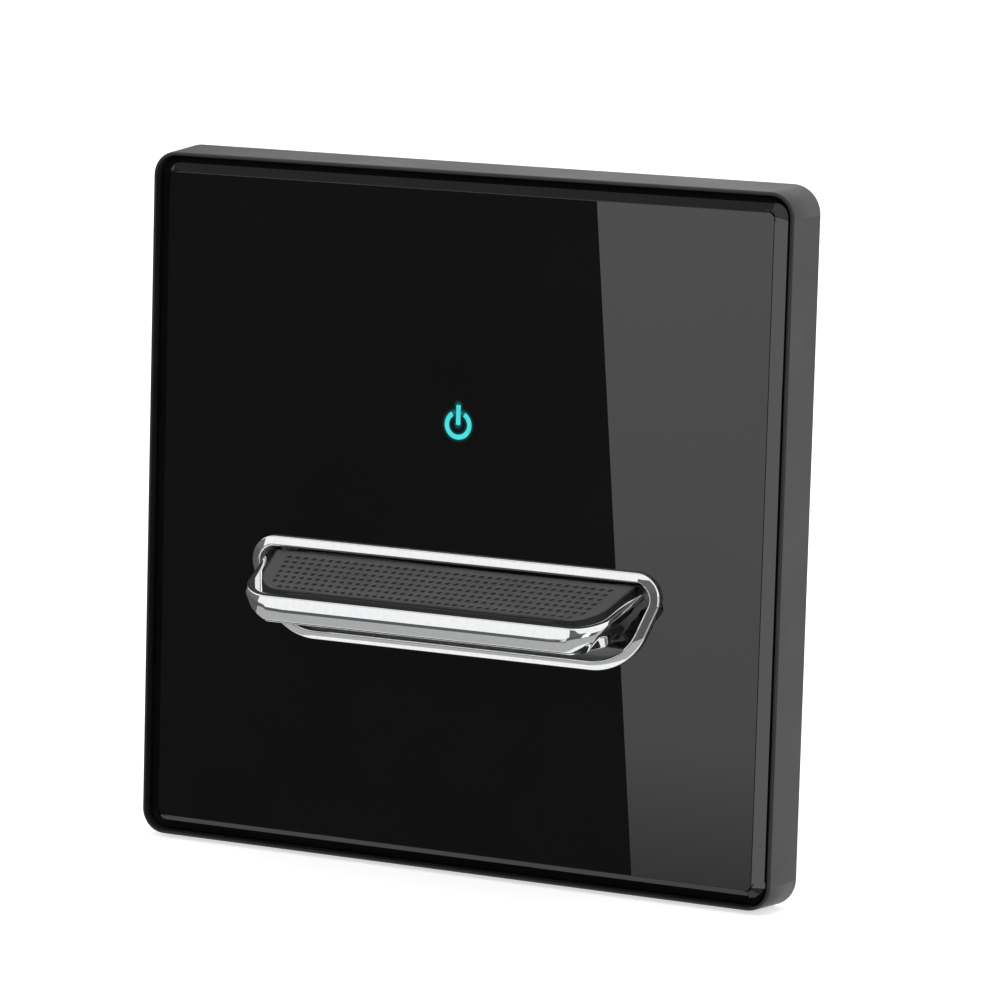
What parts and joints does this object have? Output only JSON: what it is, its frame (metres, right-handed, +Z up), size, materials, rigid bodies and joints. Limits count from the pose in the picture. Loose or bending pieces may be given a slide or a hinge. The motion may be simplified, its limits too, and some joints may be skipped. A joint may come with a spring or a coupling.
{
  "type": "glass panel light switch",
  "caption": "Square wall switch with a bevelled black glass face, a lit power symbol and a sprung chrome key lever in an oval bezel, with its box-mounted contact module.",
  "frame": {"origin": "centre of the plate on the wall face, midway between the box-screw slots", "axes": "+Y into the wall along the box screws, +Z up, +X to the right seen from the front"},
  "size_m": [0.086, 0.0457, 0.086],
  "materials": {
    "frame_black": "fine satin moulding, black",
    "glass_black": "black-backed tempered glass, polished",
    "tape_grey": "foam tape, matt",
    "bezel_chrome": "bright chrome",
    "key_chrome": "bright chrome",
    "pad_black": "soft-touch with fine dimples",
    "carrier_black": "moulded",
    "screw_steel": "zinc plated",
    "pin_steel": "ground",
    "spring_steel": "drawn wire",
    "module_white": "moulded, off-white",
    "partition_white": "moulded, off-white",
    "yoke_steel": "galvanised sheet",
    "slider_grey": "low-friction moulding",
    "contact_copper": "copper alloy",
    "contact_silver": "silver contact",
    "strip_brass": "rolled brass",
    "terminal_brass": "machined brass",
    "board_green": "solder mask",
    "led_lens": "clear tinted resin",
    "resistor_body": "glazed chip with tinned ends",
    "guide_cyan": "clear acrylic, lit cyan from behind"
  },
  "bodies": {
    "root": {"panel_frame": "frame_black", "glass_panel": "glass_black", "glass_tape": "tape_grey", "lever_bezel": "bezel_chrome", "pivot_pin": "pin_steel", "return_spring_right": "spring_steel", "return_spring_left": "spring_steel", "module_base": "module_white", "partition": "partition_white", "rear_housing": "module_white", "case_screws": "screw_steel", "mounting_yoke": "yoke_steel", "rocker_pin": "pin_steel", "line_strip_right": "strip_brass", "line_strip_left": "strip_brass", "common_strip": "strip_brass", "fixed_tips": "contact_silver", "terminal_left": "terminal_brass", "terminal_common": "terminal_brass", "terminal_right": "terminal_brass", "terminal_screws": "screw_steel", "indicator_board": "board_green", "board_screws": "screw_steel", "board_pins": "pin_steel", "indicator_led": "led_lens", "led_resistor": "resistor_body", "light_guide": "guide_cyan"},
    "key": {"key_body": "key_chrome", "key_pad": "pad_black", "key_carrier": "carrier_black", "key_screws": "screw_steel"},
    "slider": {"slider": "slider_grey"},
    "rocker": {"contact_rocker": "contact_copper", "rocker_tips": "contact_silver"}
  },
  "joints": [
    {"name": "key_tilt", "type": "hinge", "parent": "root", "child": "key", "pos_m": [0, 0.0026, -0.00898], "axis": [1, 0, 0], "range_deg": [0, 9], "stiffness_Nm_per_rad": 0.1, "springref_deg": -17.19, "deforming": ["return_spring_right", "return_spring_left"]},
    {"name": "slider_slide", "type": "slide", "parent": "root", "child": "slider", "axis": [0, 1, 0], "range_m": [0, 0.0018]},
    {"name": "rocker_tilt", "type": "hinge", "parent": "root", "child": "rocker", "pos_m": [0, 0.01318, -0.01798], "axis": [0, 0, 1], "range_deg": [0, 12.47]}
  ],
  "couplings": [
    {"joint": "slider_slide", "follows": "key_tilt", "m_per_rad": 0.0108},
    {"joint": "rocker_tilt", "follows": "key_tilt", "ratio": 1.3525}
  ]
}
